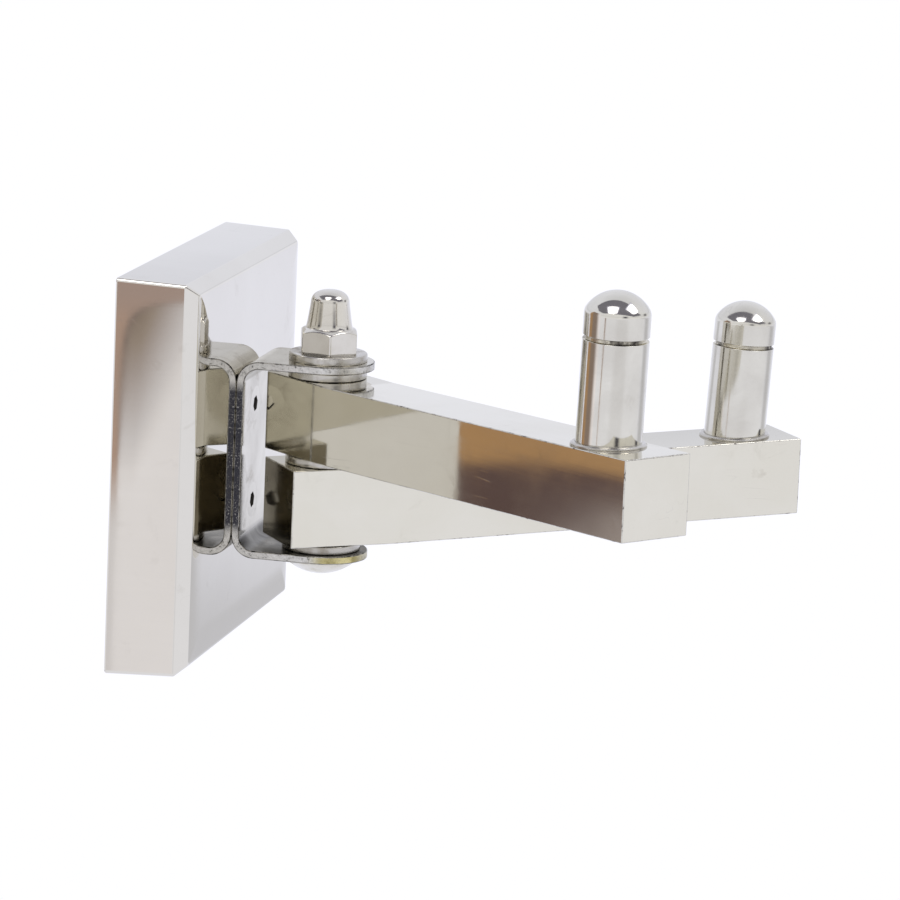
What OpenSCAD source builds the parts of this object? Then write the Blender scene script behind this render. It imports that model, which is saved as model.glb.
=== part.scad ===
// Double swivel coat hook for a wardrobe or hall wall.
// A square box cover hides the wall bracket. A bent strap clevis on its front
// carries two solid square bars, one above the other, that swing about one
// upright bolt. Each bar has a round domed peg near its tip.
// Origin: middle of the cover's back rim, on the wall. +Z up, front faces -Y.

/* [Cover] */
// Side of the square cover at the wall
cover_w = 80; // [76:1:96]
// Depth of the cover from the wall to its front face
cover_d = 17; // [16:0.5:20]
// Depth of the flat chamfer round the front face
cover_chamfer = 2.9; // [2:0.1:4]
// How much each side leans in over the depth
cover_draft = 0.6; // [0.2:0.1:1]
// Thickness of the cover sheet
cover_t = 1.4; // [1:0.1:1.6]

/* [Wall bracket] */
// Width of the bracket plate
bracket_w = 66; // [62:1:68]
// Height of the bracket plate
bracket_h = 70; // [68:0.5:70]
// Thickness of the bracket sheet
bracket_t = 2; // [1.5:0.1:2.5]
// Distance between wall screw holes, across and up
screw_pitch = 50; // [44:1:52]
// Diameter of each wall screw hole
screw_hole_d = 5.2; // [4.2:0.1:6]

/* [Clevis] */
// Width of the strap
strap_w = 19; // [18:0.5:22]
// Thickness of the strap
strap_t = 1.6; // [1.4:0.1:1.8]
// Distance from the cover face to the pivot axis
pivot_out = 16.5; // [16:0.5:20]
// Outer bend radius of the strap
bend_r = 4.6; // [3.5:0.1:5]
// Distance between the two clevis screws
web_screw_pitch = 20; // [16:1:22]

/* [Pivot] */
// Diameter of the pivot bolt
bolt_d = 6.35; // [6:0.05:6.5]
// Running clearance round the bolt, on the radius
run_gap = 0.05; // [0.03:0.01:0.08]
// Outer diameter of the washers
washer_d = 16; // [14:0.5:17]
// Thickness of the washers
washer_t = 1.6; // [1.2:0.1:1.6]
// Face gap between swinging and fixed pieces
face_gap = 0.1; // [0.05:0.01:0.12]
// Distance across the flats of the cap nut
nut_af = 11.1; // [10.5:0.1:12]
// Diameter of the low bolt head
head_d = 14.7; // [13:0.1:15]
// Height of the low bolt head
head_h = 3.5; // [3:0.1:4]

/* [Arms] */
// Side of the square bar
bar = 16; // [14:0.5:16]
// Reach of an arm from the pivot axis to its tip
reach = 104.6; // [96:0.5:112]
// Length of an arm behind the pivot axis
heel = 9.8; // [8:0.1:10]
// Upward rise of the arms outside the hinge
rise = 1.5; // [0:0.1:2]
// Swing of the upper arm toward -X at rest
upper_swing = 39; // [30:1:45]
// Swing of the lower arm toward +X at rest
lower_swing = 36.4; // [30:0.1:45]

/* [Pegs] */
// Diameter of a peg
peg_d = 12.8; // [11:0.1:13.4]
// Distance from the pivot axis to the upper peg
upper_peg_at = 89.8; // [84:0.2:94]
// Distance from the pivot axis to the lower peg
lower_peg_at = 92.8; // [84:0.2:94]
// Height of the upper peg above the bar
upper_peg_h = 30; // [26:0.1:34]
// Height of the lower peg above the bar
lower_peg_h = 28.6; // [26:0.1:34]
// Height of the dome on a peg
dome_h = 4.5; // [4:0.1:5]
// Outward lean of the upper peg from the vertical
upper_peg_lean = 2; // [0:0.1:3.5]
// Outward lean of the lower peg from the vertical
lower_peg_lean = 3; // [0:0.1:3.5]
// Distance from the dome down to the groove
groove_drop = 4.1; // [3:0.1:6]
// Width of the groove
groove_w = 0.9; // [0.6:0.1:1.2]
// Depth of the groove
groove_depth = 0.45; // [0.2:0.05:0.6]

/* [Hidden] */
$fn = 96;
eps = 0.01;

half = cover_w / 2;
face_y = -cover_d;                        // front face of the cover
pivot_y = face_y - pivot_out;             // pivot axis
inner_face_y = face_y + cover_t;          // inside of the cover's front sheet

// heights of the hinge stack, from the top down
stack = 3 * washer_t + 2 * bar + 6 * face_gap;
leg_top_in = -0.5 + stack / 2;            // underside of the top leg
leg_top = leg_top_in + strap_t;           // top of the clevis
leg_bot_in = -0.5 - stack / 2;            // upper side of the bottom leg
leg_bot = leg_bot_in - strap_t;           // bottom of the clevis
upper_top = leg_top_in - washer_t - 2 * face_gap;
upper_bot = upper_top - bar;
centre_top = upper_bot - face_gap;
lower_top = centre_top - washer_t - face_gap;
lower_bot = lower_top - bar;
low_washer_top = lower_bot - face_gap;
clevis_mid = (leg_top + leg_bot) / 2;

bolt_r = bolt_d / 2;
bore_r = bolt_r + run_gap;
washer_hole_r = bolt_r + 0.15;
nut_seat = leg_top + washer_t + 0.02;     // underside of the cap nut

pad = 12;                                 // level length of an arm outside the axis
rise_t = tan(rise);
function peg_base(at) = (at - pad) * rise_t;   // bar top at the peg, above the hinge pad
spigot_r = 4;
spigot_len = 9;
ring_r = peg_d / 2 + 1;

// ---------- helpers ----------

// prism from a Y-Z outline, drawn in (y, z) and run along X
module along_x(len) {
    translate([-len / 2, 0, 0])
        rotate([90, 0, 90]) linear_extrude(len) children();
}

// prism from an X-Y outline, run along Z and centred
module along_z(len) {
    translate([0, 0, -len / 2]) linear_extrude(len) children();
}

// upright ring between two heights
module ring(ro, ri, z0, z1) {
    translate([0, 0, z0]) difference() {
        cylinder(r = ro, h = z1 - z0);
        translate([0, 0, -1]) cylinder(r = ri, h = z1 - z0 + 2);
    }
}

// ---------- cover ----------

// half outline of the box, offset inward by t (depth y against half width)
function side_at(y, t) = half - t + y * cover_draft / cover_d;
cham_m = 0.83;                            // inward run of the chamfer for each unit of depth
cham_back = face_y + cover_chamfer;       // where the chamfer starts on the side
function cham_c(t) = side_at(cham_back, 0) - cham_m * cham_back - t * sqrt(1 + cham_m * cham_m);
function cham_y(t) = (side_at(0, t) - cham_c(t)) / (cham_m - cover_draft / cover_d);

module cover_outline(t, back) {
    yc = cham_y(t);
    yf = face_y + t;
    polygon([[back, side_at(0, t)], [yc, side_at(yc, t)], [yf, cham_m * yf + cham_c(t)],
             [yf, -cham_m * yf - cham_c(t)], [yc, -side_at(yc, t)], [back, -side_at(0, t)]]);
}

module cover_solid(t, back) {
    intersection() {
        along_x(cover_w + 2) cover_outline(t, back);
        rotate([0, 90, 0]) along_x(cover_w + 2) cover_outline(t, back);
    }
}

catch_z = 35.3;                           // underside of the catch bar

module cover_plate() {
    color("lightgray") difference() {
        union() {
            difference() {
                cover_solid(0, 0);
                cover_solid(cover_t, 1);
            }
            // catch bar inside the top wall, which hangs on the bracket's lip
            translate([-14, -5.8, catch_z])
                cube([28, 2.4, side_at(-5.8, cover_t) + 0.3 - catch_z]);
        }
        // two holes for the clevis screws
        for (s = [-1, 1])
            translate([0, face_y - 1, clevis_mid + s * web_screw_pitch / 2])
                rotate([-90, 0, 0]) cylinder(r = 2.2, h = cover_t + 2);
        // hole for the set screw in the bottom wall
        translate([0, -7, -half - 1]) cylinder(r = 2.3, h = 4);
    }
}

// ---------- wall bracket ----------

bh = bracket_h / 2;

module wall_bracket() {
    color("silver") difference() {
        union() {
            translate([-bracket_w / 2, -bracket_t, -bh])
                cube([bracket_w, bracket_t, bracket_h]);
            // top lug with its upturned lip
            translate([-15, -8, bh - bracket_t]) cube([30, 8, bracket_t]);
            translate([-15, -8, bh - bracket_t]) cube([30, 1.9, bracket_t + 2.2]);
            // bottom lug with the thickened seat of the set screw
            translate([-10, -12, -bh]) cube([20, 12, bracket_t]);
            translate([0, -7, -bh]) cylinder(r = 4.5, h = bracket_t + 2.5);
        }
        for (x = [-1, 1], z = [-1, 1])
            translate([x * screw_pitch / 2, 1, z * screw_pitch / 2])
                rotate([90, 0, 0]) cylinder(d = screw_hole_d, h = bracket_t + 2);
        translate([0, -7, -bh - 1]) cylinder(r = 2.05, h = bracket_t + 5);
    }
}

// plate behind the cover's front sheet that spreads the clevis load
module backing_plate() {
    color("silver") difference() {
        translate([-18, inner_face_y, clevis_mid - 22]) cube([36, 3, 44]);
        for (s = [-1, 1])
            translate([0, inner_face_y - 1, clevis_mid + s * web_screw_pitch / 2])
                rotate([-90, 0, 0]) cylinder(r = 2.2, h = 5);
    }
}

module cover_set_screw() {
    z0 = -side_at(-7, 0) + 0.3;
    color("dimgray") difference() {
        translate([0, -7, z0]) union() {
            cylinder(r = 2, h = 8);
            translate([0, 0, 8]) cylinder(r1 = 2, r2 = 1.2, h = 0.8);
        }
        translate([0, -7, z0 - 1]) cylinder(d = 2 / cos(30), h = 3.2, $fn = 6);
    }
}

// ---------- clevis ----------

module strap_side(t) {
    // U outline in (y, z), offset inward by t, open toward -Y
    r = bend_r - t;
    y1 = face_y - t;
    y0 = pivot_y - strap_w;
    zt = leg_top - t;
    zb = leg_bot + t;
    translate([y0, zb]) square([y1 - r - y0, zt - zb]);
    translate([y0, zb + r]) square([y1 - y0, zt - zb - 2 * r]);
    translate([y1 - r, zt - r]) circle(r = r);
    translate([y1 - r, zb + r]) circle(r = r);
}

module strap_plan() {
    translate([-strap_w / 2, pivot_y]) square([strap_w, -pivot_y]);
    translate([0, pivot_y]) circle(d = strap_w);
}

module clevis() {
    color("gainsboro") difference() {
        intersection() {
            along_x(strap_w + 2) difference() {
                strap_side(0);
                strap_side(strap_t);
            }
            along_z(80) strap_plan();
        }
        // pivot hole in the top leg, square hole in the bottom leg
        translate([0, pivot_y, leg_top_in - 1]) cylinder(r = bolt_r + 0.1, h = strap_t + 2);
        translate([-bolt_r - 0.1, pivot_y - bolt_r - 0.1, leg_bot - 1])
            cube([bolt_d + 0.2, bolt_d + 0.2, strap_t + 2]);
        // countersunk holes in the web
        for (s = [-1, 1])
            translate([0, face_y, clevis_mid + s * web_screw_pitch / 2])
                rotate([90, 0, 0]) {
                    translate([0, 0, -1]) cylinder(r = 2.1, h = strap_t + 2);
                    translate([0, 0, strap_t - 1.5]) cylinder(r1 = 2.1, r2 = 3.6, h = 1.5);
                    translate([0, 0, strap_t - eps]) cylinder(r = 3.6, h = 1);
                }
    }
}

module clevis_screws() {
    color("dimgray") for (s = [-1, 1])
        translate([0, face_y - strap_t, clevis_mid + s * web_screw_pitch / 2])
            rotate([-90, 0, 0]) difference() {
                union() {
                    translate([0, 0, 0.03]) cylinder(r1 = 3.5, r2 = 2, h = 1.45);
                    translate([0, 0, 0.5]) cylinder(r = 2, h = 11);
                }
                translate([0, 0, -1]) cylinder(d = 2.9 / cos(30), h = 2.8, $fn = 6);
            }
}

module clevis_lock_washers() {
    color("silver") for (s = [-1, 1])
        translate([0, inner_face_y + 3, clevis_mid + s * web_screw_pitch / 2])
            rotate([-90, 0, 0]) difference() {
                cylinder(r = 3.6, h = 0.9);
                translate([0, 0, -1]) cylinder(r = 2.1, h = 3);
                translate([-0.4, 0, -1]) cube([0.8, 5, 3]);
            }
}

module clevis_nuts() {
    color("silver") for (s = [-1, 1])
        translate([0, inner_face_y + 3.92, clevis_mid + s * web_screw_pitch / 2])
            rotate([-90, 0, 0]) difference() {
                cylinder(d = 7 / cos(30), h = 3.2, $fn = 6);
                translate([0, 0, -1]) cylinder(r = 2.04, h = 6);
            }
}

// ---------- pivot stack ----------

module pivot_bolt() {
    rim = 0.6;
    dome_r = (pow(head_d / 2, 2) + pow(head_h - rim, 2)) / (2 * (head_h - rim));
    head_top = leg_bot - 0.02;
    color("gainsboro") translate([0, pivot_y, 0]) union() {
        translate([0, 0, head_top - rim]) cylinder(d = head_d, h = rim);
        // low dome under the rim
        intersection() {
            translate([0, 0, head_top - head_h + dome_r]) sphere(r = dome_r);
            translate([0, 0, head_top - head_h - 1]) cylinder(d = head_d, h = head_h - rim + 1);
        }
        // square neck in the bottom leg
        translate([-bolt_r, -bolt_r, head_top - eps]) cube([bolt_d, bolt_d, 1.5]);
        translate([0, 0, head_top - eps]) cylinder(r = bolt_r, h = nut_seat + 9 - head_top);
        translate([0, 0, nut_seat + 9 - eps]) cylinder(r1 = bolt_r, r2 = bolt_r - 0.6, h = 0.6);
    }
}

nut_hex_h = 5;
nut_cone_h = 10.9;                        // top of the cone above the seat
nut_dome_h = 1.9;
nut_turn = 17;                            // turn of the flats about the axis

module cap_nut() {
    rc = nut_af / 2 / cos(30);
    r0 = 4.7;
    r1 = 3.8;
    dome_r = (r1 * r1 + nut_dome_h * nut_dome_h) / (2 * nut_dome_h);
    color("gainsboro") translate([0, pivot_y, nut_seat]) difference() {
        union() {
            // hexagon with turned-off corners
            intersection() {
                rotate(nut_turn) cylinder(r = rc, h = nut_hex_h, $fn = 6);
                rotate_extrude() polygon([[0, -1], [rc - 0.25, -1], [rc - 0.25, 0],
                    [rc + 0.2, 0.45], [rc + 0.2, nut_hex_h - 0.9],
                    [nut_af / 2 - 0.45, nut_hex_h], [0, nut_hex_h]]);
            }
            translate([0, 0, nut_hex_h - 0.5]) cylinder(r = r0, h = 0.5 + eps);
            translate([0, 0, nut_hex_h]) cylinder(r1 = r0, r2 = r1, h = nut_cone_h - nut_hex_h);
            intersection() {
                translate([0, 0, nut_cone_h + nut_dome_h - dome_r]) sphere(r = dome_r);
                translate([0, 0, nut_cone_h - eps]) cylinder(r = r1, h = 4);
            }
        }
        translate([0, 0, -1]) cylinder(r = bolt_r + 0.03, h = 11);
    }
}

module nut_washer() {
    color("silver") translate([0, pivot_y, 0])
        ring(washer_d / 2, washer_hole_r, leg_top + 0.01, leg_top + 0.01 + washer_t);
}

module upper_leg_washer() {
    color("silver") translate([0, pivot_y, 0])
        ring(washer_d / 2, washer_hole_r, upper_top + face_gap, leg_top_in - face_gap);
}

module centre_washer() {
    color("silver") translate([0, pivot_y, 0])
        ring(washer_d / 2, washer_hole_r, centre_top - washer_t, centre_top);
}

module lower_leg_washer() {
    color("silver") translate([0, pivot_y, 0])
        ring(washer_d / 2, washer_hole_r, low_washer_top - washer_t, low_washer_top);
}

// ---------- arms and pegs ----------

// moves children from the arm's own frame (length along +X, pivot at the
// origin, top of the hinge pad at z = 0) to its place at rest
module place_arm(swing, top) {
    translate([0, pivot_y, top]) rotate(-90 - swing) children();
}

module arm_bar(at, lean) {
    difference() {
        translate([0, bar / 2, 0]) rotate([90, 0, 0]) linear_extrude(bar)
            polygon([[-heel, 0], [pad, 0], [reach, (reach - pad) * rise_t],
                     [reach, (reach - pad) * rise_t - bar], [pad, -bar], [-heel, -bar]]);
        translate([0, 0, -bar - 1]) cylinder(r = bore_r, h = bar + 2);
        // blind hole for the peg's spigot
        translate([at, 0, peg_base(at)]) rotate([0, lean, 0])
            translate([0, 0, -spigot_len - 0.3]) cylinder(r = spigot_r + 0.02, h = spigot_len + 2);
    }
}

// outline of a peg above the bar, with the groove and the rounded dome
module peg_outline(peg_h) {
    r = peg_d / 2;
    zs = peg_h - dome_h;                  // foot of the dome
    rf = 2.2;                             // rounded shoulder
    q = r - rf;
    // crown radius that meets the shoulder smoothly
    cr = (q * q + dome_h * dome_h - rf * rf) / (2 * (dome_h - rf));
    zc = peg_h - cr;
    gz = zs - groove_drop - groove_w;
    n1 = 8;
    n2 = 10;
    a0 = atan2(zs - zc, q);               // where shoulder and crown meet
    polygon(concat(
        [[0, -1.2], [r, -1.2], [r, gz], [r - groove_depth, gz + 0.2],
         [r - groove_depth, gz + groove_w - 0.2], [r, gz + groove_w]],
        [for (i = [0 : n1]) let (a = a0 * i / n1) [q + rf * cos(a), zs + rf * sin(a)]],
        [for (i = [1 : n2]) let (a = a0 + (90 - a0) * i / n2) [cr * cos(a), zc + cr * sin(a)]]));
}

module peg(at, lean, peg_h) {
    translate([at, 0, peg_base(at)]) difference() {
        rotate([0, lean, 0]) union() {
            rotate_extrude() peg_outline(peg_h);
            translate([0, 0, -spigot_len]) cylinder(r = spigot_r, h = spigot_len);
        }
        // flush with the sloping top of the bar, all but the spigot
        rotate([0, -rise, 0]) translate([0, 0, -4]) difference() {
            cylinder(r = 12, h = 4 + 0.02);
            rotate([0, rise + lean, 0]) translate([0, 0, -10]) cylinder(r = spigot_r, h = 20);
        }
    }
}

module peg_ring(at, lean) {
    translate([at, 0, peg_base(at)]) rotate([0, -rise, 0]) difference() {
        union() {
            translate([0, 0, 0.01]) cylinder(r = ring_r, h = 0.35);
            translate([0, 0, 0.36]) cylinder(r1 = ring_r, r2 = ring_r - 0.35, h = 0.25);
        }
        rotate([0, rise + lean, 0]) translate([0, 0, -3]) cylinder(r = peg_d / 2 + 0.03, h = 8);
    }
}

module upper_arm() {
    color("gainsboro") place_arm(upper_swing, upper_top) arm_bar(upper_peg_at, upper_peg_lean);
}
module lower_arm() {
    color("gainsboro") place_arm(-lower_swing, lower_top) arm_bar(lower_peg_at, lower_peg_lean);
}
module upper_peg() {
    color("lightgray") place_arm(upper_swing, upper_top)
        peg(upper_peg_at, upper_peg_lean, upper_peg_h);
}
module lower_peg() {
    color("lightgray") place_arm(-lower_swing, lower_top)
        peg(lower_peg_at, lower_peg_lean, lower_peg_h);
}
module upper_peg_ring() {
    color("silver") place_arm(upper_swing, upper_top) peg_ring(upper_peg_at, upper_peg_lean);
}
module lower_peg_ring() {
    color("silver") place_arm(-lower_swing, lower_top) peg_ring(lower_peg_at, lower_peg_lean);
}

cover_plate();
wall_bracket();
backing_plate();
cover_set_screw();
clevis();
clevis_screws();
clevis_lock_washers();
clevis_nuts();
pivot_bolt();
cap_nut();
nut_washer();
upper_leg_washer();
centre_washer();
lower_leg_washer();
upper_arm();
lower_arm();
upper_peg();
lower_peg();
upper_peg_ring();
lower_peg_ring();
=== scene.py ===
import math

import bmesh
import bpy
from mathutils import Matrix, Vector


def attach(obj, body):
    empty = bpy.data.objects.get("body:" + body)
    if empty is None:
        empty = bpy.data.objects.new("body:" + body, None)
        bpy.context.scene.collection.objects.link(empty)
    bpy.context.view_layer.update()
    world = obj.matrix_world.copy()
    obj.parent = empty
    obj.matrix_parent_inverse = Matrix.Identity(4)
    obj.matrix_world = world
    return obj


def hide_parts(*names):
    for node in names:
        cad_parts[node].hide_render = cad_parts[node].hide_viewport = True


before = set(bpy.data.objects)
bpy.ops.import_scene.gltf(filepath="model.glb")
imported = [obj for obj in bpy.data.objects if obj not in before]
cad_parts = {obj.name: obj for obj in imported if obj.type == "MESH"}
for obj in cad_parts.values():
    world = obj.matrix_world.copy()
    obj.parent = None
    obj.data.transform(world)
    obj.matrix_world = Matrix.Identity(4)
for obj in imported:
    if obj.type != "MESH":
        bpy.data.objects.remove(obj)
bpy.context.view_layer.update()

MM = 0.001
scene = bpy.context.scene

# ---------------------------------------------------------------- sizes (mm)
PIVOT_Y = -33.5
LEG_TOP, LEG_BOT = 19.8, -20.8
UPPER_TOP, LOWER_TOP = 16.4, -1.4
BAR, REACH, HEEL, PAD = 16.0, 104.6, 9.8, 12.0
RISE = math.radians(1.5)
BOLT_R = 3.175
NUT_SEAT = 21.42
PEG_R, DOME_H = 6.4, 4.5


# ---------------------------------------------------------------- mesh tools
def add(name, me, matrix=None):
    o = bpy.data.objects.new(name, me)
    scene.collection.objects.link(o)
    if matrix is not None:
        o.matrix_world = matrix
    return o


def to_mesh(bm, name, sharp=35.0):
    bmesh.ops.recalc_face_normals(bm, faces=bm.faces[:])
    me = bpy.data.meshes.new(name)
    bm.to_mesh(me)
    bm.free()
    for p in me.polygons:
        p.use_smooth = True
    me.set_sharp_from_angle(angle=math.radians(sharp))
    return me


def even(o):
    """flat faces stay flat next to rounded edges"""
    m = o.modifiers.new("even", "WEIGHTED_NORMAL")
    m.mode = "FACE_AREA"
    m.weight = 50
    m.keep_sharp = True
    return o


def fillet(pts, closed=False, seg=4):
    """pts as (x, y, corner radius); gives the outline with round corners"""
    out = []
    n = len(pts)
    for i, (x, y, rad) in enumerate(pts):
        if rad <= 0 or (not closed and i in (0, n - 1)):
            out.append((x, y))
            continue
        p = Vector((x, y))
        a = Vector(pts[i - 1][:2]) - p
        b = Vector(pts[(i + 1) % n][:2]) - p
        la, lb = a.length, b.length
        a.normalize()
        b.normalize()
        ang = a.angle(b)
        t = min(rad / math.tan(ang / 2), 0.49 * la, 0.49 * lb)
        r = t * math.tan(ang / 2)
        c = p + (a + b).normalized() * (r / math.sin(ang / 2))
        s, e = p + a * t - c, p + b * t - c
        sweep = s.angle(e)
        turn = 1 if s.x * e.y - s.y * e.x > 0 else -1
        for k in range(seg + 1):
            f = turn * sweep * k / seg
            q = Vector((s.x * math.cos(f) - s.y * math.sin(f), s.x * math.sin(f) + s.y * math.cos(f)))
            out.append(tuple(c + q))
    return out


def revolve(bm, prof, segs=128, closed=False, mat=0):
    """prof as (r, z) in mm, turned about Z"""
    rings = []
    for r, z in prof:
        if r < 1e-6:
            rings.append([bm.verts.new((0, 0, z * MM))])
        else:
            rings.append([bm.verts.new((r * MM * math.cos(2 * math.pi * j / segs),
                                        r * MM * math.sin(2 * math.pi * j / segs), z * MM)) for j in range(segs)])
    pairs = list(zip(rings, rings[1:])) + ([(rings[-1], rings[0])] if closed else [])
    for a, b in pairs:
        for j in range(segs):
            k = (j + 1) % segs
            if len(a) == 1 and len(b) == 1:
                continue
            if len(a) == 1:
                f = bm.faces.new((a[0], b[k], b[j]))
            elif len(b) == 1:
                f = bm.faces.new((a[j], a[k], b[0]))
            else:
                f = bm.faces.new((a[j], a[k], b[k], b[j]))
            f.material_index = mat
    return bm


def skin(bm, rings, mats=None, cap_first=False, cap_last=False):
    """bridges rings of the same number of points, in mm"""
    vs = [[bm.verts.new(Vector(p) * MM) for p in ring] for ring in rings]
    n = len(vs[0])
    for i in range(len(vs) - 1):
        a, b = vs[i], vs[i + 1]
        for j in range(n):
            k = (j + 1) % n
            f = bm.faces.new((a[j], a[k], b[k], b[j]))
            if mats:
                f.material_index = mats[i]
    if cap_first:
        bm.faces.new(list(reversed(vs[0])))
    if cap_last:
        bm.faces.new(vs[-1])
    return vs


def bevel(bm, width, seg=2, least=25.0, mat=-1, pick=None):
    edges = [e for e in bm.edges if len(e.link_faces) == 2 and e.calc_face_angle(0) > math.radians(least)
             and (pick is None or pick(e))]
    if edges:
        bmesh.ops.bevel(bm, geom=edges, offset=width * MM, offset_type="OFFSET", segments=seg, profile=0.5,
                        affect="EDGES", clamp_overlap=True, material=mat)
    return bm


def block(bm, x0, x1, y0, y1, z0, z1):
    out = bmesh.ops.create_cube(bm, size=1.0)
    for v in out["verts"]:
        v.co = Vector(((x0 + x1) / 2 + v.co.x * (x1 - x0), (y0 + y1) / 2 + v.co.y * (y1 - y0),
                       (z0 + z1) / 2 + v.co.z * (z1 - z0))) * MM
    return bm


def rod(r, z0, z1, segs=96):
    bm = bmesh.new()
    revolve(bm, [(0, z0), (r, z0), (r, z1), (0, z1)], segs)
    bmesh.ops.recalc_face_normals(bm, faces=bm.faces[:])
    me = bpy.data.meshes.new("cutter")
    bm.to_mesh(me)
    bm.free()
    return me


def cut(o, me, matrix, keep_sharp=35.0):
    """takes the cutter mesh away from o for good"""
    c = add("cutter", me, matrix)
    m = o.modifiers.new("cut", "BOOLEAN")
    m.operation = "DIFFERENCE"
    m.solver = "EXACT"
    m.object = c
    bpy.context.view_layer.update()
    dg = bpy.context.evaluated_depsgraph_get()
    new = bpy.data.meshes.new_from_object(o.evaluated_get(dg))
    o.modifiers.clear()
    old = o.data
    o.data = new
    bpy.data.meshes.remove(old)
    bpy.data.objects.remove(c)
    for p in new.polygons:
        p.use_smooth = True
    new.set_sharp_from_angle(angle=math.radians(keep_sharp))
    return o


def from_frame(node, width, seg=2, least=30.0, mark=None, edge_mat=-1, sharp=35.0, pick=None):
    """a copy of a frame mesh with its edges rounded"""
    bm = bmesh.new()
    bm.from_mesh(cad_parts[node].data)
    bmesh.ops.remove_doubles(bm, verts=bm.verts[:], dist=2e-6)
    bmesh.ops.dissolve_limit(bm, angle_limit=math.radians(0.6), verts=bm.verts[:], edges=bm.edges[:])
    for f in bm.faces:
        f.material_index = 0
    bmesh.ops.recalc_face_normals(bm, faces=bm.faces[:])
    if mark:
        for f in bm.faces:
            if mark(f):
                f.material_index = 2
    bevel(bm, width, seg, least, edge_mat, pick)
    me = bpy.data.meshes.new(node)
    bm.to_mesh(me)
    bm.free()
    for p in me.polygons:
        p.use_smooth = True
    me.set_sharp_from_angle(angle=math.radians(sharp))
    return me


# ---------------------------------------------------------------- materials
def tree(name):
    m = bpy.data.materials.new(name)
    m.use_nodes = True
    nt = m.node_tree
    nt.nodes.clear()
    return m, nt


def node(nt, kind, **values):
    n = nt.nodes.new(kind)
    for k, v in values.items():
        if hasattr(n, k):
            setattr(n, k, v)
        else:
            n.inputs[k.replace("_", " ")].default_value = v
    return n


def noise(nt, vec, scale, detail=3.0, rough=0.5, distort=0.0):
    n = node(nt, "ShaderNodeTexNoise")
    n.inputs["Scale"].default_value = scale
    n.inputs["Detail"].default_value = detail
    n.inputs["Roughness"].default_value = rough
    n.inputs["Distortion"].default_value = distort
    nt.links.new(vec, n.inputs["Vector"])
    return n.outputs["Fac"]


def span(nt, val, a, b, c=0.0, d=1.0, smooth=False):
    n = node(nt, "ShaderNodeMapRange")
    n.clamp = True
    if smooth:
        n.interpolation_type = "SMOOTHSTEP"
    for k, v in zip(("From Min", "From Max", "To Min", "To Max"), (a, b, c, d)):
        n.inputs[k].default_value = v
    nt.links.new(val, n.inputs["Value"])
    return n.outputs["Result"]


def maths(nt, op, a, b=None):
    n = node(nt, "ShaderNodeMath", operation=op)
    for i, v in enumerate((a, b)):
        if v is None:
            continue
        if isinstance(v, (int, float)):
            n.inputs[i].default_value = v
        else:
            nt.links.new(v, n.inputs[i])
    return n.outputs[0]


def blend_rgb(nt, fac, a, b, kind="MIX"):
    n = node(nt, "ShaderNodeMix", data_type="RGBA", blend_type=kind)
    if isinstance(fac, (int, float)):
        n.inputs[0].default_value = fac
    else:
        nt.links.new(fac, n.inputs[0])
    for i, v in ((6, a), (7, b)):
        if isinstance(v, tuple):
            n.inputs[i].default_value = (*v, 1.0)
        else:
            nt.links.new(v, n.inputs[i])
    return n.outputs[2]


def stretch(nt, vec, scale, rot=(0, 0, 0), loc=(0, 0, 0)):
    n = node(nt, "ShaderNodeMapping")
    n.inputs["Scale"].default_value = scale
    n.inputs["Rotation"].default_value = rot
    n.inputs["Location"].default_value = loc
    nt.links.new(vec, n.inputs["Vector"])
    return n.outputs["Vector"]


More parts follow.
